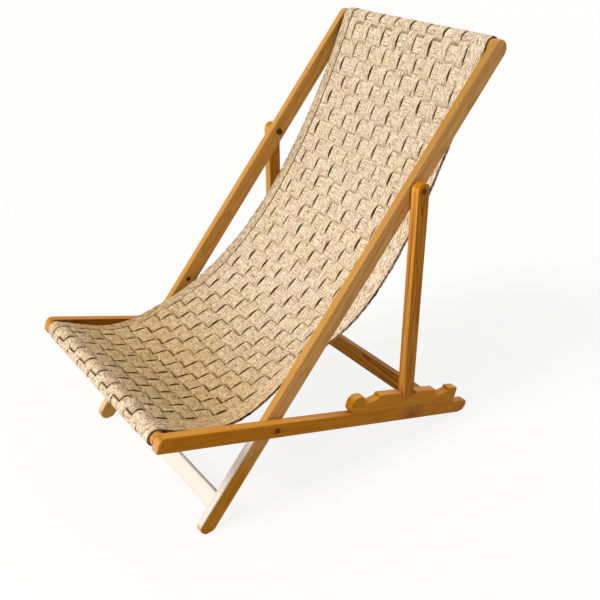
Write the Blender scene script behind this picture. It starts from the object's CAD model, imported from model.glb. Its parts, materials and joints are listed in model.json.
"""Dresses the folding deck chair: woven straw sling, varnished pine and bronzed hardware."""
import json
import math
import random

import bmesh
import bpy
import numpy as np
from mathutils import Euler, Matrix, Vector


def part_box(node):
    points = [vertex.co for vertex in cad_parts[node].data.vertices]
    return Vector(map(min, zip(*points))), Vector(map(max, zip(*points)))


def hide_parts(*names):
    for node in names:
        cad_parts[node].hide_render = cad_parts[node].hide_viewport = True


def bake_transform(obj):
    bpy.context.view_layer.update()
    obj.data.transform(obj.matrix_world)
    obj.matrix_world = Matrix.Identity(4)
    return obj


bl_info = {
    "name": "Deck Chair Dressing",
    "version": (1, 0, 0),
    "blender": (4, 5, 0),
    "location": "View3D > Sidebar > Deck Chair",
    "description": "Woven straw sling, varnished pine and hardware for a folding deck chair",
    "category": "Object",
}

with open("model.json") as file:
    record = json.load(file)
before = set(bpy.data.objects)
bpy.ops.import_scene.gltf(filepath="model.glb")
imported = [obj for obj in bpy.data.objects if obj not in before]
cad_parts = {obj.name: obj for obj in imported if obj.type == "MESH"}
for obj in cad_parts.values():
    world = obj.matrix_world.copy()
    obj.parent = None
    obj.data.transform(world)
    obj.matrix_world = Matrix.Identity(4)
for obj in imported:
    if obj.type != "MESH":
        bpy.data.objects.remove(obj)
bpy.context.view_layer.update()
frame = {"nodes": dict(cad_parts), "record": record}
JOINTS = {joint["name"]: joint for joint in frame["record"]["behaviour"]["joints"]}
SEAT_PIVOT = Vector(JOINTS["seat_fold"]["pos_m"])
BACK_LEAN = math.radians(40.2)
SEAT_SLOPE = math.radians(18.5)
PROP_LEAN = math.radians(-0.8)

# What each point of a strap tells its material: where it is along and across the strap, the
# strap's own tone, how deep it is sunk between other straps, and its share of the hang.
STRAP_LAYERS = ("along", "across", "tone", "sunk", "place")
# Places of the points across a strap, from edge to edge.
STOPS = (-1, -0.95, -0.8, -0.42, 0, 0.42, 0.8, 0.95, 1)
# Long straps and borders end this far short of the sling's ends.
END_GAP = 0.002

CAMERA_PLACE = (1.3903, -0.9602, 1.2973)
CAMERA_TURN = (52.730, 28.060, 0.461)  # yaw, pitch down and roll in degrees
CAMERA_SENSOR, CAMERA_LENS, CAMERA_SHIFT = 36.0, 46.92, -0.025


def bar_centre(node):
    """(y, z, radius) of a round crossbar."""
    low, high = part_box(node)
    return (low[1] + high[1]) / 2, (low[2] + high[2]) / 2, (high[2] - low[2]) / 2


def fade(value, none, full):
    """0 at one place and before it, 1 at the other and past it, straight between them."""
    return np.clip((value - none) / (full - none), 0, 1)


# Settings
def length(name, text, default):
    return bpy.props.FloatProperty(name=name, description=text, default=default,
                                   subtype="DISTANCE", unit="LENGTH", precision=4)


def colour(name, text, default):
    return bpy.props.FloatVectorProperty(name=name, description=text, default=default,
                                         subtype="COLOR", size=3, min=0, max=1)


class SlingSettings(bpy.types.PropertyGroup):
    half_width: length("Half width", "Middle of the sling to its edge", 0.2415)
    front_half: length("Half width in front", "The same at the front roll", 0.2577)
    spread_from: bpy.props.FloatProperty(
        name="Spread from", description="Share of the hang where it starts to spread", default=0.8)
    thickness: length("Thickness", "Two straps at a crossing", 0.006)
    strap_thickness: length("Strap thickness", "One braided strap", 0.0017)
    relief: length("Relief", "Rise and fall of a strap at each crossing", 0.0021)
    pinch: length("Pinch", "How far a cross strap draws in the long strap above it", 0.0029)
    free_near: length("Hanging length, left", "Between the bars at the +X edge", 1.2516)
    free_far: length("Hanging length, right", "Between the bars at the -X edge", 1.198)
    belly: length("Belly", "Extra hanging length at the middle", 0.010)
    hollow: length("Sitting hollow", "How far use has pressed the seat down", 0.012)
    far_dip: length("Edge dip", "How far the -X edge sinks behind the front roll", 0.018)
    lift: length("Edge lift", "How far the +X edge curls up to the rail's peg", 0.0516)
    columns: bpy.props.IntProperty(
        name="Straps", description="Lengthwise straps between the borders", default=15)
    border_near: length("Border width, left", "Continuous strap along the +X edge", 0.0475)
    border_far: length("Border width, right", "Continuous strap along the -X edge", 0.0280)
    row_pitch: length("Row pitch", "Cross straps at the top", 0.0450)
    row_closing: length("Row closing", "How much closer each row lies", 0.000115)
    row_first: length("First row", "First cross strap below the top bar", 0.0356)
    row_turn: length("Turn run", "Extra run of the rows over the top bar", 0.008)
    cross_width: length("Cross strap width", "Width of a cross strap", 0.0385)
    plait: length("Plait pitch", "One crossing of the straws within a strap", 0.0050)
    straw: colour("Straw", "Main colour of the straps", (0.73, 0.583, 0.405))
    straw_pink: colour("Pinkish straw", "Colour of some straps", (0.72, 0.548, 0.415))
    straw_yellow: colour("Yellowish straw", "Colour of some straps", (0.74, 0.608, 0.378))
    straw_grey: colour("Greyish straw", "Colour of some straps", (0.62, 0.517, 0.388))
    fleck: colour("Flecks", "Dark fibres", (0.27, 0.165, 0.085))
    shine: colour("Pale fibres", "Fibres that catch the light", (0.98, 0.88, 0.68))
    shade: colour("Slits", "Tint of the straw down between the straps", (0.055, 0.022, 0.004))
    half_shade: colour("Slit rims", "The same where it starts to get dark", (0.60, 0.51, 0.39))
    hem_tape: length("Hem tape", "Width of the tape over a hem's raw end", 0.016)
    thread: colour("Thread", "Stitches along the hems", (0.52, 0.38, 0.22))
    stain: colour("Seat stain", "What use has left on the seat, as a tint", (0.885, 0.778, 0.572))


class WoodSettings(bpy.types.PropertyGroup):
    pale: colour("Early wood", "Wide pale part of each ring", (0.61, 0.285, 0.050))
    deep: colour("Late wood", "Narrow dark part of each ring", (0.33, 0.115, 0.010))
    bare_pale: colour("Bare early wood", "The same on the bleached stretcher", (0.73, 0.69, 0.635))
    bare_deep: colour("Bare late wood", "The same on the bleached stretcher", (0.63, 0.52, 0.43))
    ring: length("Ring spacing", "Growth rings", 0.0042)
    varnish: bpy.props.FloatProperty(
        name="Varnish roughness", description="Gloss of the finish", default=0.36,
        min=0, max=1)


class HardwareSettings(bpy.types.PropertyGroup):
    bronze: colour("Bronzed steel", "Bolts, washers, nuts and pegs", (0.075, 0.028, 0.014))
    roughness: bpy.props.FloatProperty(
        name="Roughness", description="Gloss of the hardware", default=0.42, min=0, max=1)


class StageSettings(bpy.types.PropertyGroup):
    floor: colour("Floor", "Pale floor", (0.86, 0.86, 0.85))
    floor_lift: bpy.props.FloatProperty(
        name="Floor lift", description="How far the seen floor goes to white", default=0.85,
        min=0, max=1)
    floor_bounce: bpy.props.FloatProperty(
        name="Floor bounce", description="Share of the floor's light that comes back up",
        default=0.5, min=0, max=1)
    key: bpy.props.FloatProperty(
        name="Key light", description="Strength of the front light", default=2.52)
    foot: bpy.props.FloatProperty(
        name="Foot light", description="Watts of the low light before the feet", default=2.8)
    rear: bpy.props.FloatProperty(
        name="Rear light", description="Strength of the light from behind", default=0.7)
    fill: bpy.props.FloatProperty(
        name="Fill light", description="Strength of the surrounding light", default=0.47)


# Node helpers
class Nodes:
    """Short calls for building one material's node tree."""

    def __init__(self, name):
        self.material = bpy.data.materials.new(name)
        self.material.use_nodes = True
        self.tree = self.material.node_tree
        self.shader = self.tree.nodes["Principled BSDF"]

    def new(self, kind, **settings):
        node = self.tree.nodes.new(kind)
        for key, value in settings.items():
            setattr(node, key, value)
        return node

    def feed(self, socket, value):
        if isinstance(value, bpy.types.NodeSocket):
            self.tree.links.new(value, socket)
        elif value is not None:
            socket.default_value = value

    def math(self, operation, a, b=None):
        node = self.new("ShaderNodeMath", operation=operation)
        for socket, value in zip(node.inputs, (a, b)):
            self.feed(socket, value)
        return node.outputs[0]

    def weighted(self, *pairs):
        """Sum of values, each times its weight."""
        terms = [self.math("MULTIPLY", value, weight) for value, weight in pairs]
        total = terms.pop()
        while terms:
            total = self.math("ADD", terms.pop(), total)
        return total

    def attribute(self, name):
        return self.new("ShaderNodeAttribute", attribute_name=name).outputs["Fac"]

    def vector(self, x, y, z):
        node = self.new("ShaderNodeCombineXYZ")
        for socket, value in zip(node.inputs, (x, y, z)):
            self.feed(socket, value)
        return node.outputs[0]

    def noise(self, vector, scale, detail, roughness=0.55):
        node = self.new("ShaderNodeTexNoise")
        self.feed(node.inputs["Vector"], vector)
        node.inputs["Scale"].default_value = scale
        node.inputs["Detail"].default_value = detail
        node.inputs["Roughness"].default_value = roughness
        return node.outputs["Fac"]

    def ramp(self, factor, stops):
        node = self.new("ShaderNodeValToRGB")
        elements = node.color_ramp.elements
        while len(elements) < len(stops):
            elements.new(0.5)
        for element, (place, value) in zip(elements, stops):
            element.position = place
            tone = value if hasattr(value, "__len__") else (value,) * 3
            element.color = (*tone, 1.0)
        self.feed(node.inputs["Fac"], factor)
        return node.outputs["Color"]

    def mix(self, factor, a, b, blend="MIX"):
        node = self.new("ShaderNodeMix", data_type="RGBA", blend_type=blend)
        self.feed(node.inputs["Factor"], factor)
        for socket, value in ((node.inputs[6], a), (node.inputs[7], b)):
            if not isinstance(value, bpy.types.NodeSocket):
                value = (*value[:3], 1.0)
            self.feed(socket, value)
        return node.outputs[2]

    def span(self, value, low, high, new_low=0.0, new_high=1.0):
        node = self.new("ShaderNodeMapRange", clamp=True)
        for socket, number in zip(node.inputs, (value, low, high, new_low, new_high)):
            self.feed(socket, number)
        return node.outputs[0]

    def bump(self, height, strength, distance):
        node = self.new("ShaderNodeBump")
        node.inputs["Strength"].default_value = strength
        node.inputs["Distance"].default_value = distance
        self.feed(node.inputs["Height"], height)
        self.feed(self.shader.inputs["Normal"], node.outputs[0])

    def set(self, **values):
        for name, value in values.items():
            self.feed(self.shader.inputs[name.replace("_", " ")], value)


# Materials
def pine(name, turn, centre, pith, pale, deep, contrast=1.0, seed=0.0, knot=None, faces=()):
    """Sawn pine: growth rings round a pith line, so faces, edges and ends agree.

    turn lays the grain along the material's own Z, centre is a point of the piece, and pith
    is the place of the ring centre beside it. A knot is (y, z, reach) in the same axes and goes
    through along X. Faces lists other tones: an amount, (pale, deep), then spans (axis, none
    here, all here). Axis 3 is how far a face looks along -Y, which is up on the seat frame.
    """
    wood = bpy.context.scene.chair_wood
    sway_x, sway_y, ripple_depth = 0.030, 0.036, 0.0016
    knot_swell, knot_stretch, knot_tone = 0.016, 0.35, (0.27, 0.078, 0.007)
    n = Nodes(name)
    turn = Euler(turn)
    centre = turn.to_matrix() @ Vector(centre)
    place = n.new("ShaderNodeMapping")
    place.inputs["Rotation"].default_value = turn
    place.inputs["Location"].default_value = -centre
    coordinates = n.new("ShaderNodeTexCoord")
    n.feed(place.inputs["Vector"], coordinates.outputs["Object"])
    split = n.new("ShaderNodeSeparateXYZ")
    n.feed(split.inputs[0], place.outputs[0])
    x, y, z = split.outputs

    def square(value):
        return n.math("MULTIPLY", value, value)

    def sway(vector, scale, size):
        """A slow wandering of that size to both sides."""
        return n.math("MULTIPLY", n.math("SUBTRACT", n.noise(vector, scale, 2.0), 0.5), size)

    def drawn_out(across, lengthwise, roughness):
        """Fine noise with so many turns a metre across the grain and along it."""
        return n.noise(n.vector(n.math("MULTIPLY", x, across), n.math("MULTIPLY", y, across),
                                n.math("MULTIPLY", z, lengthwise)), 1.0, 4.0, roughness)

    slow = n.vector(n.math("MULTIPLY", x, 2.0), n.math("MULTIPLY", y, 2.0),
                    n.math("ADD", z, seed))
    other = n.vector(n.math("ADD", z, seed + 7.3), x, y)
    from_x = n.math("ADD", n.math("SUBTRACT", x, pith[0]), sway(slow, 2.3, sway_x))
    from_y = n.math("ADD", n.math("SUBTRACT", y, pith[1]), sway(other, 1.7, sway_y))
    radius = n.math("SQRT", n.math("ADD", square(from_x), square(from_y)))
    radius = n.math("ADD", radius, sway(place.outputs[0], 34.0, ripple_depth))
    spot = None
    if knot:
        knot_y, knot_z, reach = knot
        from_knot = n.math("SQRT", n.math("ADD", square(n.math("SUBTRACT", y, knot_y)), n.math(
            "MULTIPLY", square(n.math("SUBTRACT", z, knot_z)), knot_stretch)))
        spot = n.span(from_knot, reach, 0.0)
        radius = n.math("ADD", radius, n.math("MULTIPLY", square(spot), knot_swell))
    ring = n.math("FRACT", n.math("DIVIDE", radius, wood.ring))
    late = n.ramp(ring, [(0.0, 0.45), (0.07, 0.04), (0.50, 0.10), (0.78, 0.42), (0.93, 1.0),
                         (1.0, 0.45)])
    fibre, streak = drawn_out(900.0, 26.0, 0.65), drawn_out(190.0, 3.6, 0.6)
    cloud = n.noise(place.outputs[0], 5.0, 2.0)
    strength = n.math("MULTIPLY", n.math("MULTIPLY", late, 0.78 * contrast),
                      n.span(cloud, 0.25, 0.75, 0.55, 1.0))
    base = n.mix(strength, pale, deep)
    facing = n.new("ShaderNodeVectorMath", operation="DOT_PRODUCT")
    n.feed(facing.inputs[0], coordinates.outputs["Normal"])
    n.feed(facing.inputs[1], turn.to_matrix().inverted() @ Vector((0, -1, 0)))
    axes = (x, y, z, facing.outputs["Value"])
    for amount, tones, *spans in faces:
        mask = amount
        for axis, low, high in spans:
            mask = n.math("MULTIPLY", mask, n.span(axes[axis], low, high))
        base = n.mix(mask, base, n.mix(strength, *tones))
    for marks, low, high, most, share in ((streak, 0.48, 0.66, 0.42, 0.75),
                                          (fibre, 0.50, 0.85, 0.32, 0.8)):
        base = n.mix(n.span(marks, low, high, 0.0, most * contrast), base,
                     [c * share for c in deep])
    if spot is not None:
        base = n.mix(n.math("POWER", spot, 1.4), base, knot_tone)
    n.bump(n.weighted((fibre, 0.6), (late, 0.5)), 0.16, 0.0006)
    n.set(Base_Color=base,
          Roughness=n.span(streak, 0.2, 0.8, wood.varnish - 0.06, wood.varnish + 0.08),
          Specular_IOR_Level=0.07)
    return n.material


def straw(name, pitch, slant, gap, fold=None):
    """Flat straw plait: small facets where the straws cross, each catching the light its own way.

    With fold, the straws slant to that distance from the edge and back, as a herringbone.
    """
    s = bpy.context.scene.chair_sling
    wander, unlike = 0.005, 47.0
    facet_share, fibre_share, reed_share = (0.14, 0.44, 0.42) if fold else (0.08, 0.47, 0.45)
    n = Nodes(name)
    along, across, tone, sunk, place = (n.attribute(key) for key in STRAP_LAYERS)
    seed = n.math("MULTIPLY", tone, unlike)

    def grain(per_along, per_across, roughness=0.55):
        """Noise with so many turns a metre along the strap and across it."""
        return n.noise(n.vector(n.math("MULTIPLY", along, per_along),
                                n.math("MULTIPLY", across, per_across), seed),
                       1.0, 2.0, roughness)

    swerve = n.math("MULTIPLY", n.math("SUBTRACT", grain(60.0, 90.0), 0.5), wander)
    run = n.math("ADD", along, swerve)
    if fold:
        side = n.math("MULTIPLY", n.math("PINGPONG", across, fold), slant)
        strands = [n.math("DIVIDE", n.math("ADD", run, side), pitch),
                   n.math("DIVIDE", across, fold / 3)]
    else:
        side = n.math("MULTIPLY", across, slant)
        strands = [n.math("DIVIDE", n.math(way, run, side), pitch)
                   for way in ("ADD", "SUBTRACT")]
    cells = [n.math("FLOOR", strand) for strand in strands]
    dice = n.new("ShaderNodeTexWhiteNoise", noise_dimensions="3D")
    n.feed(dice.inputs["Vector"], n.vector(*cells, seed))
    facet = dice.outputs["Value"]
    edges = [n.math("PINGPONG", strand, 0.5) for strand in strands]
    edge = edges[0] if fold else n.math("MINIMUM", *edges)
    fibre, reed = grain(400.0, 640.0, 0.75), grain(70.0, 520.0, 0.6)
    catch = n.weighted((facet, facet_share), (fibre, fibre_share), (reed, reed_share))
    hue = n.weighted((tone, 0.6), (grain(12.0, 20.0), 0.4))
    base = n.ramp(hue, [(0.10, s.straw_yellow), (0.35, s.straw), (0.58, s.straw_pink),
                        (0.75, s.straw), (0.95, s.straw_grey)])
    base = n.mix(n.span(catch, 0.50, 0.562), base, s.shine)
    base = n.mix(n.span(catch, 0.481, 0.404), base, s.fleck)
    base = n.mix(n.span(edge, 0.0, 0.20, gap, 0.0), base, s.fleck)
    used = n.math("MULTIPLY", n.span(place, 0.62, 0.82), n.span(place, 1.04, 0.95))
    base = n.mix(used, base, s.stain, "MULTIPLY")
    base = n.mix(1.0, base, n.ramp(sunk, [(0.0, 1.0), (0.42, s.half_shade), (0.9, s.shade)]),
                 "MULTIPLY")
    n.bump(n.math("ADD", n.span(edge, 0.0, 0.3), n.math("MULTIPLY", catch, 0.8)), 0.55, 0.0008)
    n.set(Base_Color=base, Roughness=0.85, Specular_IOR_Level=0.02)
    return n.material


def thread():
    """Waxed thread, twisted: pale and dark turns along each stitch."""
    s = bpy.context.scene.chair_sling
    n = Nodes("hem_thread")
    along, across, tone, *_ = (n.attribute(key) for key in STRAP_LAYERS)
    turns = 4200.0
    twist = n.math("SINE", n.math("MULTIPLY", n.math("ADD", along, across), turns))
    base = n.mix(n.span(twist, -1.0, 1.0, 0.0, 0.6), s.thread, [c * 0.45 for c in s.thread])
    n.set(Base_Color=n.mix(n.span(tone, 0.0, 1.0, 0.0, 0.3), base, s.fleck), Roughness=0.6)
    n.bump(twist, 0.4, 0.0002)
    return n.material


def bronzed():
    """Dark bronzed steel, a little worn."""
    h = bpy.context.scene.chair_hardware
    n = Nodes("bronzed_steel")
    place = n.new("ShaderNodeTexCoord").outputs["Object"]
    worn = n.noise(place, 420.0, 3.0)
    n.set(Base_Color=n.mix(n.span(worn, 0.45, 0.75, 0.0, 0.5), h.bronze,
                           [min(1.0, c * 2.0) for c in h.bronze]),
          Metallic=0.85, Roughness=n.span(worn, 0.3, 0.7, h.roughness - 0.1, h.roughness + 0.12))
    n.bump(worn, 0.12, 0.0003)
    return n.material


# The hung surface of the sling
def catenary(front, rear, free):
    """(scale, lowest y, offset) of the hanging curve of that length between two points."""
    across, up = rear[0] - front[0], rear[1] - front[1]
    wanted = math.sqrt(free * free - up * up) / across
    little, large = 1e-4, 20.0
    for _ in range(80):
        middle = (little + large) / 2
        if math.sinh(middle) / middle < wanted:
            little = middle
        else:
            large = middle
    scale = across / (2 * little)
    lowest = (front[0] + rear[0]) / 2 - scale * math.atanh(up / free)
    return scale, lowest, front[1] - scale * math.cosh((front[0] - lowest) / scale)


class HungSurface:
    """Places points given as (across, along, height) on the hanging sling.

    Along runs from the hem behind the top bar, round that bar, down the hanging part, round
    the front bar to the hem under it.
    """
    WRAP = math.radians(226)
    HEM_MEETS, HEM_LONG, HEM_GAP, HEM_BEND = 0.052, 0.030, 0.0008, 0.42
    # Steps of the hem, its bend to the bar, the wrap, the hanging part, and the same again
    PARTS = (20, 26, 40, 260, 40, 26, 20)
    BAR_GAP = 0.0003
    LIFT_FROM = 0.58
    # Where use has pressed the seat, the +X edge curls up and the -X edge dips: how far behind
    # the seat pivot, and how far each reaches
    PRESS, CURL, DIP = (-0.095, 0.075), (0.116, 0.122), (-0.165, 0.07)

    def __init__(self, s):
        self.s = s
        self.columns = np.linspace(-1, 1, 25)
        lines = [self.line(t) for t in self.columns]
        self.points = np.array([line[0] for line in lines])
        self.normals = np.array([line[1] for line in lines])
        middle = self.points[len(lines) // 2]
        steps = np.linalg.norm(np.diff(middle, axis=0), axis=1)
        self.along = np.concatenate([[0], np.cumsum(steps)])
        self.free_from = self.along[sum(self.PARTS[:3])]
        self.free_to = self.along[sum(self.PARTS[:4])]
        self.end = self.along[-1]

    def line(self, t):
        """Points and normals of the lengthwise line at -1 to 1 of the half width."""
        s = self.s
        share = (t + 1) / 2
        free = s.free_far + (s.free_near - s.free_far) * share + s.belly * (1 - t * t)
        lift = s.lift * (max(0.0, share - self.LIFT_FROM) / (1 - self.LIFT_FROM)) ** 2
        ty, tz, tr = bar_centre("top_crossbar")
        fy, fz, fr = bar_centre("front_crossbar")
        tr, fr = (r + self.BAR_GAP + s.thickness / 2 for r in (tr, fr))

        def ring(y, z, r, a):
            return np.stack([y + r * np.cos(a), z + r * np.sin(a)], -1)

        def lean(y):
            return np.arctan(np.sinh((y - lowest) / scale))

        # From a first guess, the turns where the sling leaves the bars settle at its own lean
        top_turn, front_turn = math.radians(150), math.radians(60)
        for _ in range(30):
            a, b = ring(fy, fz, fr, front_turn), ring(ty, tz, tr, top_turn)
            scale, lowest, offset = catenary(a, b, free)
            front_turn, top_turn = math.pi / 2 + lean(a[0]), math.pi / 2 + lean(b[0])

        def hang(arc):
            run = scale * (np.sinh((b[0] - lowest) / scale) * (1 - arc)
                           + np.sinh((a[0] - lowest) / scale) * arc)
            y = lowest + scale * np.arcsinh(run / scale)
            z = offset + scale * np.cosh((y - lowest) / scale)
            angle = math.pi / 2 + lean(y)
            ends = np.sqrt(np.sin(math.pi * np.clip(arc, 0, 1)))
            press, curl, dip = (np.exp(-((y - SEAT_PIVOT.y - at) / reach) ** 2)
                                for at, reach in (self.PRESS, self.CURL, self.DIP))
            deep = ends * (s.hollow * press + s.far_dip * max(0.0, -t) ** 2 * dip - lift * curl)
            return np.stack([y - deep * np.cos(angle), z - deep * np.sin(angle)], -1), angle

        def hem(start, heading, sign):
            """Under the hanging part from its far end, then across to the bar's wrap."""
            arc = np.linspace(self.HEM_MEETS + self.HEM_LONG, self.HEM_MEETS,
                              self.PARTS[0] + 1) / free
            sheet, angle = hang(arc if sign > 0 else 1 - arc)
            under = sheet - (s.thickness + self.HEM_GAP) * np.stack(
                [np.cos(angle), np.sin(angle)], -1)
            tangent = (under[-1] - under[-2]) / np.linalg.norm(under[-1] - under[-2])
            handle = np.linalg.norm(start - under[-1]) * self.HEM_BEND
            k = np.linspace(0, 1, self.PARTS[1] + 1)[1:, None]
            p1, p2 = under[-1] + tangent * handle, start - heading * handle
            bend = ((1 - k) ** 3 * under[-1] + 3 * (1 - k) ** 2 * k * p1
                    + 3 * (1 - k) * k * k * p2 + k ** 3 * start)
            return np.concatenate([under, bend[:-1]])

        around = np.linspace(0, 1, self.PARTS[2] + 1)
        top_end = top_turn - self.WRAP
        top_wrap = ring(ty, tz, tr, top_end + self.WRAP * around)
        top_heading = np.array([-math.sin(top_end), math.cos(top_end)])
        front_end = front_turn + self.WRAP
        front_wrap = ring(fy, fz, fr, front_turn + self.WRAP * around)
        front_heading = np.array([math.sin(front_end), -math.cos(front_end)])
        sheet, _ = hang(np.linspace(0, 1, self.PARTS[3] + 1))
        front_hem = hem(front_wrap[-1], front_heading, -1)[::-1]
        line = np.concatenate([hem(top_wrap[0], top_heading, 1), top_wrap[:-1], sheet[:-1],
                               front_wrap, front_hem])
        tangent = np.gradient(line, axis=0)
        tangent /= np.linalg.norm(tangent, axis=1)[:, None]
        normal = np.stack([tangent[:, 1], -tangent[:, 0]], -1)
        return line, normal

    def share(self, along):
        """Share of the hanging part, 0 at the top bar and 1 at the front bar."""
        return (along - self.free_from) / (self.free_to - self.free_from)

    def __call__(self, across, along, height):
        """World points on the sling, that height above its middle."""
        rows = np.interp(along, self.along, np.arange(len(self.along)))
        places = (np.clip(across / self.s.half_width, -1, 1) + 1) / 2 * (len(self.columns) - 1)
        r0 = np.minimum(rows.astype(int), len(self.along) - 2)
        c0 = np.minimum(places.astype(int), len(self.columns) - 2)
        fr, fc = (rows - r0)[:, None], (places - c0)[:, None]

        def blend(grid):
            return ((grid[c0, r0] * (1 - fr) + grid[c0, r0 + 1] * fr) * (1 - fc)
                    + (grid[c0 + 1, r0] * (1 - fr) + grid[c0 + 1, r0 + 1] * fr) * fc)
        side = blend(self.points) + blend(self.normals) * height[:, None]
        f = fade(self.share(along), self.s.spread_from, 1)
        widen = 1 + (self.s.front_half / self.s.half_width - 1) * f * f * (3 - 2 * f)
        return np.column_stack([across * widen, side])


class Weave:
    """Over and under of the plain weave: rows of cross straps and columns of long straps."""
    ROWS = (-9, 40)
    SEAT_FROM, SEAT_FULL = 0.55, 0.75
    FULLNESS_BACK, FULLNESS_MORE = 0.78, 0.57
    CROWN, CROWN_MORE = 0.0007, 0.0014
    STEEP = 1.5

    def __init__(self, s):
        self.surface = HungSurface(s)
        self.first, self.last = s.border_far - s.half_width, s.half_width - s.border_near
        self.pitch = (self.last - self.first) / s.columns
        self.rows = np.arange(*self.ROWS)
        free = (s.row_first + s.row_pitch * self.rows
                - s.row_closing * self.rows * np.maximum(self.rows, 0)
                - s.row_turn * (self.rows < 0))
        self.row_places = free + self.surface.free_from

    def row_at(self, along):
        return np.interp(along, self.row_places, self.rows)

    def column_at(self, across):
        return (across - self.first) / self.pitch - 0.5

    def low(self, share):
        """None on the back, all on the seat."""
        return fade(share, self.SEAT_FROM, self.SEAT_FULL)

    def fullness(self, share):
        """Share of the relief, less on the stretched back than on the seat."""
        return self.FULLNESS_BACK + self.FULLNESS_MORE * self.low(share)

    def crown(self, share):
        """How far a strap's edges drop, more where it turns over a bar."""
        return self.CROWN + self.CROWN_MORE * fade(np.maximum(-share, share - 1), 0, 0.015)

    def level(self, phase):
        """1 where a strap goes over, -1 where it goes under, with a quick change between."""
        return np.tanh(self.STEEP * np.cos(math.pi * phase)) / math.tanh(self.STEEP)


# Straps
def strap(bm, layers, segments, thickness, shape, tone, stops=STOPS):
    """A closed flat strap: a face grid above and one below that meet at the edges and ends.

    shape(run, v, height, side) takes places from 0 to 1 along and -1 to 1 across, the height
    above the strap's middle and the face (1 above, -1 below). It returns the world points, the
    places along and across the strap, how deep each is sunk, and its share of the hang.
    """
    squareness, weld = 7, 1e-6
    made = []
    for side in (1, -1):
        grid = bmesh.ops.create_grid(bm, x_segments=len(stops) - 1, y_segments=segments, size=1.0)
        verts = grid["verts"]
        flat = np.array([v.co[:2] for v in verts])
        v = np.interp(flat[:, 0], np.linspace(-1, 1, len(stops)), stops)
        run = (flat[:, 1] + 1) / 2
        swell = np.sqrt(np.clip(1 - np.abs(v) ** squareness, 0, 1)) * np.sqrt(
            np.clip(1 - np.abs(flat[:, 1]) ** (2 * segments), 0, 1))
        points, *values = shape(run, v, side * swell * thickness / 2, side)
        values.insert(2, np.full_like(v, tone))
        for vert, point, *marks in zip(verts, points, *values):
            vert.co = point
            for key, mark in zip(STRAP_LAYERS, marks):
                vert[layers[key]] = mark
        if side < 0:
            bmesh.ops.reverse_faces(bm, faces=list({f for v in verts for f in v.link_faces}))
        made += verts
    bmesh.ops.remove_doubles(bm, verts=made, dist=weld)


def straps_object(name, build, material):
    """A sling piece from straps, bending between the two frames as they fold."""
    bm = bmesh.new()
    layers = {key: bm.verts.layers.float.new(key) for key in STRAP_LAYERS}
    build(bm, layers)
    bmesh.ops.recalc_face_normals(bm, faces=bm.faces)
    mesh = bpy.data.meshes.new(name)
    bm.to_mesh(mesh)
    bm.free()
    mesh.shade_smooth()
    mesh.materials.append(material)
    piece = bpy.data.objects.new(name, mesh)
    bpy.context.scene.collection.objects.link(piece)
    # It bends from above the seat pivot to behind the front bar
    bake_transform(piece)
    return piece


class CHAIR_OT_long_straps(bpy.types.Operator):
    """Lengthwise straw straps of the sling, over and under the cross straps"""
    bl_idname = "chair.long_straps"
    bl_label = "Weave Long Straps"

    def execute(self, context):
        s = context.scene.chair_sling
        weave = Weave(s)
        surface = weave.surface
        dice = random.Random(11)
        closeness, gather, steps_per_row = 1.01, 0.0005, 10
        half = weave.pitch * 0.5 * closeness

        def build(bm, layers):
            for i in range(s.columns):
                middle = weave.first + (i + 0.5) * weave.pitch
                drift = dice.uniform(0.2, 0.9) * 1e-3
                beat, start = dice.uniform(9, 15), dice.uniform(0, 6)
                draw = np.array([dice.uniform(0.45, 1.15) for _ in weave.rows]) * s.pinch

                def shape(run, v, height, side):
                    along = END_GAP + run * (surface.end - 2 * END_GAP)
                    row = weave.row_at(along)
                    share = surface.share(along)
                    low = weave.low(share)
                    pinch = draw[np.rint(row - weave.rows[0]).astype(int)] * (1 - 0.6 * low)
                    level = weave.level(row + i)
                    over = fade(level, 0.5, 1)
                    across = (middle + v * half - pinch * over * fade(v, -0.2, 0.8)
                              + gather * over * fade(v, 0, -1)
                              + drift * np.sin(beat * along + start))
                    rise = s.relief * weave.fullness(share) * level - weave.crown(share) * v ** 4
                    # A dark line where it dives under a cross strap, with a soft shade before
                    dive = np.mod(row + i + (side < 0), 2)
                    low = low * (side > 0)
                    line = 0.42 + 0.45 * low if side > 0 else 0.62
                    sunk = line * fade(dive + 0.08 * low, 0.49, 0.54) * fade(dive, 1.3, 1)
                    soft = (0.06 + 0.1 * low) * fade(dive, 0.25, 0.5) * (dive < 1)
                    sunk = np.maximum(sunk, soft)
                    if side > 0:
                        # The slit beside it where it is drawn in
                        slit = fade(v - 0.06 * low, 0.84, 0.95) * np.sqrt(over)
                        slit = slit * (0.75 + 0.1 * low) * np.clip(pinch / s.pinch + low, 0, 1)
                        sunk = np.maximum(sunk, slit)
                    return surface(across, along, rise + height), along, v * half, sunk, share

                steps = int(surface.end / s.row_pitch * steps_per_row)
                strap(bm, layers, steps, s.strap_thickness, shape, dice.random())

        piece = straps_object("sling_long_straps", build,
                              straw("straw_straps", s.plait, 1.0, 0.35))
        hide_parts("sling")
        return {"FINISHED"}


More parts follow.
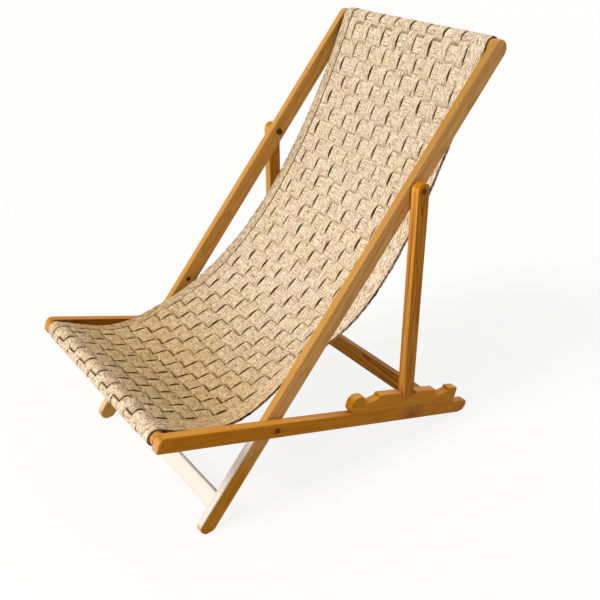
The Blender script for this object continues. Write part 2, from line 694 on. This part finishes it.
class CHAIR_OT_cross_straps(bpy.types.Operator):
    """Straw straps across the sling, under and over the long ones"""
    bl_idname = "chair.cross_straps"
    bl_label = "Weave Cross Straps"

    def execute(self, context):
        s = context.scene.chair_sling
        weave = Weave(s)
        surface = weave.surface
        dice = random.Random(23)
        reach, spare, steps_per_column = s.half_width - 0.002, 0.003, 8

        def build(bm, layers):
            for j, place in zip(weave.rows, weave.row_places):
                half = s.cross_width / 2 * dice.uniform(0.97, 1.02)
                tone = dice.random()
                drift, tilt = dice.uniform(-0.0014, 0.0014), dice.uniform(-0.004, 0.004)
                if not half + spare < place < surface.end - half - spare:
                    continue

                def shape(run, v, height, side):
                    across = -reach + run * 2 * reach
                    column = weave.column_at(across)
                    level = -weave.level(column + j)
                    edge = 1 - np.abs(np.cos(math.pi * column))
                    outside = (across < weave.first) | (across > weave.last)
                    level = np.where(outside, np.minimum(level, -0.2), level)
                    along = (place + v * half + drift * np.cos(math.pi * across / reach)
                             + tilt * across)
                    share = surface.share(along)
                    drop = weave.crown(share)
                    rise = (s.relief * weave.fullness(share) * level - drop * v ** 4
                            - (drop + 0.0001) * edge ** 3)
                    # Dark where it climbs from under a long strap, and under the borders
                    climb = np.mod(column + j + (side < 0), 2)
                    sunk = fade(climb, 0.2, 0.3) * fade(climb, 0.545, 0.515)
                    sunk = np.where(outside, 0.9 * (side > 0), sunk)
                    return surface(across, along, rise + height), across, v * half, sunk, share

                steps = (s.columns + 2) * steps_per_column
                strap(bm, layers, steps, s.strap_thickness, shape, tone)

        straps_object("sling_cross_straps", build, bpy.data.materials["straw_straps"])
        return {"FINISHED"}


class CHAIR_OT_borders(bpy.types.Operator):
    """Continuous straps along both edges, with the darker raw edge under them"""
    bl_idname = "chair.borders"
    bl_label = "Sew Borders"

    def execute(self, context):
        s = context.scene.chair_sling
        weave = Weave(s)
        surface = weave.surface
        dice = random.Random(5)
        tuck, lap_rise, step = 0.0022, 0.0013, 0.004

        def edge_strap(bm, layers, sign, inner, outer, rise, rough, tone, dark, trim=0.0, lap=0.0):
            """A strap along one edge. Trim narrows where it hangs, lap lays it on the weave."""
            waves = [(dice.uniform(60, 700), dice.uniform(0, 6)) for _ in range(9)]

            def shape(run, v, height, side):
                along = END_GAP + run * (surface.end - 2 * END_GAP)
                ragged = sum(np.sin(b * along + p) for b, p in waves) / len(waves) * rough
                share = surface.share(along)
                hangs = fade(share, 0, 0.1) * fade(share, 1, 0.9)
                out = inner + (outer - trim * hangs - inner + ragged) * (v + 1) / 2
                up = rise + height
                sunk = np.where(side > 0, dark, dark * (np.abs(v) > 0.9))
                if lap > 0:
                    up = up + lap_rise * (1 - v) / 2
                    row_beat = np.cos(2 * math.pi * weave.row_at(along))
                    dashes = np.clip(0.85 + 0.4 * row_beat, 0.5, 1)
                    sunk = np.maximum(sunk, dashes * fade(v, -0.86, -0.93))
                return (surface(sign * np.minimum(out, s.half_width + 0.001), along, up),
                        along, (v + 1) * (outer - inner) / 2, sunk, share)

            strap(bm, layers, int(surface.end / step), s.strap_thickness, shape, tone)

        def build(bm, layers):
            edge = s.half_width
            for sign, wide, tone, dark, lap in ((-1, s.border_far, 0.93, 0.16, 0.004),
                                                (1, s.border_near, 0.45, 0, -0.0016)):
                edge_strap(bm, layers, sign, edge - wide - lap, edge - tuck, rise=0.0011,
                           rough=0.0008, tone=tone, dark=dark, trim=tuck, lap=lap)
                edge_strap(bm, layers, sign, edge - wide - 0.003, edge - 0.0008, rise=-0.0018,
                           rough=0.0030, tone=0.9, dark=0.62)

        straps_object("sling_borders", build,
                      straw("straw_borders", 0.0068, 1.5, 0.7, s.border_near / 4))
        return {"FINISHED"}


class CHAIR_OT_hems(bpy.types.Operator):
    """Straw tape over the raw ends of both hems, held by a row of thread stitches"""
    bl_idname = "chair.hems"
    bl_label = "Bind Hems"

    def execute(self, context):
        s = context.scene.chair_sling
        surface = Weave(s).surface
        dice = random.Random(31)
        reach, wide = s.half_width - 0.004, s.hem_tape
        inset, stitch_step, stitch_half = 0.0022, 0.0105, 0.0034
        thread_half, thread_thickness = 0.0006, 0.0011
        tape_rise = s.relief + s.strap_thickness + 0.0006
        stitch_rise = s.relief + 1.5 * s.strap_thickness + 0.0008
        ends = ((inset, 1), (surface.end - inset, -1))

        def band(middle, wander, half_long, half_wide, rise, start=None):
            """A tape across the sling, or a stitch along it where start says how far across."""
            def shape(run, v, height, side):
                if start is None:
                    across, along = (2 * run - 1) * half_long, middle + v * half_wide
                else:
                    across, along = start + v * half_wide, middle + (run - 0.5) * 2 * half_long
                along = along + wander * np.sin(9 * across)
                return (surface(across, along, rise + height), across, along - middle,
                        np.zeros_like(v), surface.share(along))
            return shape

        def bind(bm, layers):
            for end, sign in ends:
                shape = band(end + sign * wide / 2, 0.0006, reach, wide / 2, tape_rise)
                strap(bm, layers, 80, s.strap_thickness, shape, 0.3)

        def stitch(bm, layers):
            for end, sign in ends:
                for offset in (0.24, 0.76):
                    middle = end + sign * wide * offset
                    for start in np.arange(-reach + 0.006, reach - 0.004, stitch_step):
                        start += dice.uniform(-0.0006, 0.0006)
                        shape = band(middle, 0, stitch_half, thread_half, stitch_rise, start)
                        strap(bm, layers, 4, thread_thickness, shape, dice.random(),
                              stops=(-1, 0, 1))

        straps_object("sling_hem_tapes", bind, bpy.data.materials["straw_borders"])
        straps_object("sling_hem_stitches", stitch, thread())
        return {"FINISHED"}


class CHAIR_OT_woodwork(bpy.types.Operator):
    """Varnished pine on rails, racks, prop legs and crossbars, each with its own grain"""
    bl_idname = "chair.woodwork"
    bl_label = "Varnish Woodwork"

    def execute(self, context):
        back, seat, prop, cross = ((BACK_LEAN, 0, 0), (SEAT_SLOPE + math.pi / 2, 0, 0),
                                   (PROP_LEAN, 0, 0), (0, math.pi / 2, 0))
        wood = context.scene.chair_wood

        def tint(*rgb):
            return ([c * k for c, k in zip(wood.pale, rgb)],
                    [c * k for c, k in zip(wood.deep, rgb)])

        honey, amber, brown = tint(0.98, 1.07, 1.4), tint(0.93, 0.77, 0.05), tint(0.96, 0.79, 0.08)
        oak, walnut, umber = tint(1.0, 0.90, 0.5), tint(0.55, 0.42, 0.12), tint(0.40, 0.28, 0.06)
        chestnut, wheat, dun = tint(0.87, 0.67, 0.03), tint(1.2, 1.5, 2.2), tint(0.62, 0.64, 0.46)
        khaki, gold, cream = tint(1.22, 1.36, 2.3), tint(1.45, 1.42, 1.4), tint(1.25, 1.75, 5.5)
        bare = (wood.bare_pale, wood.bare_deep)
        # Grain direction, place of the pith, tone, contrast, seed and a knot if there is one
        finishes = {
            "back_rail_left": (back, (0.075, 0.012), honey, 0.8, 1.3),
            "back_rail_right": (back, (-0.062, -0.010), honey, 0.7, 4.1),
            "seat_rail_left": (seat, (0.066, 0.004), chestnut, 0.6, 8.7, (0.006, 0.262, 0.038)),
            "seat_rail_right": (seat, (-0.058, 0.010), chestnut, 0.6, 2.9),
            "rack_left": (seat, (0.090, -0.012), amber, 0.5, 6.2),
            "rack_right": (seat, (-0.090, 0.012), amber, 0.5, 9.4),
            "prop_leg_left": (prop, (0.040, 0.006), brown, 1.7, 3.3),
            "prop_leg_right": (prop, (-0.040, 0.006), brown, 1.1, 7.7),
            "top_crossbar": (cross, (0.03, 0.02), honey, 0.8, 5.1),
            "front_crossbar": (cross, (0.03, 0.02), honey, 0.8, 6.6),
            "foot_stretcher": (cross, (0.012, 0.055), bare, 0.6, 2.2),
            "rear_crossbar": (cross, (0.004, 0.034), oak, 2.2, 1.8),
        }
        # Where faces of a piece have another tone: axis, place with none of it, place with all
        feet, fronts, outer = (2, -0.40, -0.47), (1, -0.0160, -0.0205), (0, 0.0070, 0.0086)
        nose, top, inner = (2, -0.470, -0.486), (1, -0.0150, -0.0175), (0, 0.0085, 0.0105)
        prop_front, treads = (1, -0.0145, -0.0170), (3, 0.45, 0.75)
        faces = {
            "back_rail_left": [(0.5, dun, fronts, (2, 0.1, 0.4)),
                               (1.0, khaki, outer), (1.0, amber, outer, feet),
                               (0.95, bare, fronts, (2, -0.375, -0.388))],
            "back_rail_right": [(0.95, cream, fronts, feet)],
            "seat_rail_left": [(0.8, gold, top), (0.9, cream, nose)],
            "seat_rail_right": [(0.4, gold, top), (0.4, cream, nose), (1.0, umber, inner)],
            "rack_left": [(0.9, gold, treads)],
            "rack_right": [(0.9, gold, treads)],
            "prop_leg_left": [(1.0, gold, prop_front)],
            "prop_leg_right": [(1.0, wheat, prop_front), (0.35, walnut, inner)],
        }
        for node, (turn, pith, tones, contrast, seed, *knot) in finishes.items():
            low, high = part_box(node)
            middle = (Vector(low) + Vector(high)) / 2
            material = pine(f"pine_{node}", turn, middle, pith, *tones, contrast, seed, *knot,
                            faces=faces.get(node, ()))
            for slot in frame["nodes"][node].material_slots:
                slot.material = material
        return {"FINISHED"}


class CHAIR_OT_hardware(bpy.types.Operator):
    """Dark bronzed finish on bolts, washers, nuts and pegs"""
    bl_idname = "chair.hardware"
    bl_label = "Bronze Hardware"

    def execute(self, context):
        material = bronzed()
        for name, node in frame["nodes"].items():
            if any(word in name for word in ("bolt", "washer", "nut", "peg")):
                for slot in node.material_slots:
                    slot.material = material
        return {"FINISHED"}


def background_rays(tree):
    """1 for rays that see the white background: from the camera, mirrored or let through."""
    rays = tree.nodes.new("ShaderNodeLightPath")
    total = rays.outputs["Is Camera Ray"]
    for kind in ("Is Glossy Ray", "Is Transmission Ray"):
        add = tree.nodes.new("ShaderNodeMath")
        add.operation = "MAXIMUM"
        tree.links.new(total, add.inputs[0])
        tree.links.new(rays.outputs[kind], add.inputs[1])
        total = add.outputs[0]
    return total


def bearing(turn, rise):
    """The way to a far light, so many degrees from the front and above the floor."""
    turn, rise = math.radians(turn), math.radians(rise)
    return Vector((math.sin(turn) * math.cos(rise), -math.cos(turn) * math.cos(rise),
                   math.sin(rise)))


def lamp(name, kind, strength, way, **settings):
    """A light that stands that way from what it lights."""
    data = bpy.data.lights.new(name, kind)
    data.energy = strength
    for key, value in settings.items():
        setattr(data, key, value)
    light = bpy.data.objects.new(name, data)
    light.rotation_mode = "QUATERNION"
    light.rotation_quaternion = way.to_track_quat("Z", "Y")
    bpy.context.scene.collection.objects.link(light)
    return light


class CHAIR_OT_stage(bpy.types.Operator):
    """Pale floor, soft surrounding light, lights in front, behind and low, and the camera"""
    bl_idname = "chair.stage"
    bl_label = "Set Stage"

    def execute(self, context):
        st = context.scene.chair_stage
        scene = context.scene
        scene.view_settings.view_transform = "Standard"
        bm = bmesh.new()
        bmesh.ops.create_circle(bm, cap_ends=True, segments=64, radius=40.0)
        mesh = bpy.data.meshes.new("floor")
        bm.to_mesh(mesh)
        bm.free()
        floor = bpy.data.objects.new("floor", mesh)
        scene.collection.objects.link(floor)
        n = Nodes("floor_paint")
        seen = background_rays(n.tree)
        n.set(Base_Color=n.mix(seen, [c * st.floor_bounce for c in st.floor], st.floor),
              Roughness=0.9)
        white = n.new("ShaderNodeEmission")
        lift = n.new("ShaderNodeMixShader")
        n.feed(lift.inputs["Fac"], n.math("MULTIPLY", seen, st.floor_lift))
        n.feed(lift.inputs[1], n.shader.outputs[0])
        n.feed(lift.inputs[2], white.outputs[0])
        n.feed(n.tree.nodes["Material Output"].inputs["Surface"], lift.outputs[0])
        mesh.materials.append(n.material)

        world = bpy.data.worlds.new("studio")
        scene.world = world
        world.use_nodes = True
        tree = world.node_tree
        plain = tree.nodes["Background"]
        plain.inputs["Color"].default_value = (1.0, 0.99, 0.97, 1)
        plain.inputs["Strength"].default_value = st.fill
        seen = tree.nodes.new("ShaderNodeBackground")
        seen.inputs["Color"].default_value = (1, 1, 1, 1)
        seen.inputs["Strength"].default_value = 1.0
        choose = tree.nodes.new("ShaderNodeMixShader")
        tree.links.new(background_rays(tree), choose.inputs["Fac"])
        tree.links.new(plain.outputs[0], choose.inputs[1])
        tree.links.new(seen.outputs[0], choose.inputs[2])
        tree.links.new(choose.outputs[0], tree.nodes["World Output"].inputs["Surface"])

        lamp("key_light", "SUN", st.key, bearing(-7, 46), angle=math.radians(24),
             color=(1.0, 0.965, 0.91))
        lamp("rear_light", "SUN", st.rear, bearing(172, 14), angle=math.radians(50))
        foot_place, foot_aim = Vector((0.10, -1.35, 0.22)), Vector((0.08, -0.30, 0.12))
        foot = lamp("foot_light", "AREA", st.foot, foot_place - foot_aim, shape="RECTANGLE",
                    size=0.7, size_y=0.3)
        foot.location = foot_place

        camera = bpy.data.objects.new("camera", bpy.data.cameras.new("camera"))
        camera.data.sensor_width = CAMERA_SENSOR
        camera.data.lens = CAMERA_LENS
        camera.data.shift_y = CAMERA_SHIFT
        camera.location = CAMERA_PLACE
        yaw, pitch, roll = (math.radians(d) for d in CAMERA_TURN)
        aimed = Euler((math.pi / 2 - pitch, 0, yaw)).to_matrix()
        camera.rotation_euler = (aimed @ Euler((0, 0, roll)).to_matrix()).to_euler()
        scene.collection.objects.link(camera)
        scene.camera = camera
        return {"FINISHED"}


class CHAIR_PT_panel(bpy.types.Panel):
    bl_label = "Deck Chair"
    bl_idname = "CHAIR_PT_panel"
    bl_space_type = "VIEW_3D"
    bl_region_type = "UI"
    bl_category = "Deck Chair"

    def draw(self, context):
        for operator in OPERATORS:
            self.layout.operator(operator.bl_idname)
        for name, group in SETTINGS.items():
            box = self.layout.box()
            for key in group.__annotations__:
                box.prop(getattr(context.scene, name), key)


SETTINGS = {"chair_sling": SlingSettings, "chair_wood": WoodSettings,
            "chair_hardware": HardwareSettings, "chair_stage": StageSettings}
OPERATORS = (CHAIR_OT_stage, CHAIR_OT_long_straps, CHAIR_OT_cross_straps, CHAIR_OT_borders,
             CHAIR_OT_hems, CHAIR_OT_woodwork, CHAIR_OT_hardware)
CLASSES = (*SETTINGS.values(), *OPERATORS, CHAIR_PT_panel)


def register():
    for cls in CLASSES:
        bpy.utils.register_class(cls)
    for name, group in SETTINGS.items():
        setattr(bpy.types.Scene, name, bpy.props.PointerProperty(type=group))


def unregister():
    for name in SETTINGS:
        delattr(bpy.types.Scene, name)
    for cls in reversed(CLASSES):
        bpy.utils.unregister_class(cls)


def main():
    register()
    bpy.ops.chair.stage()
    bpy.ops.chair.long_straps()
    bpy.ops.chair.cross_straps()
    bpy.ops.chair.borders()
    bpy.ops.chair.hems()
    bpy.ops.chair.woodwork()
    bpy.ops.chair.hardware()


if __name__ == "__main__":
    main()
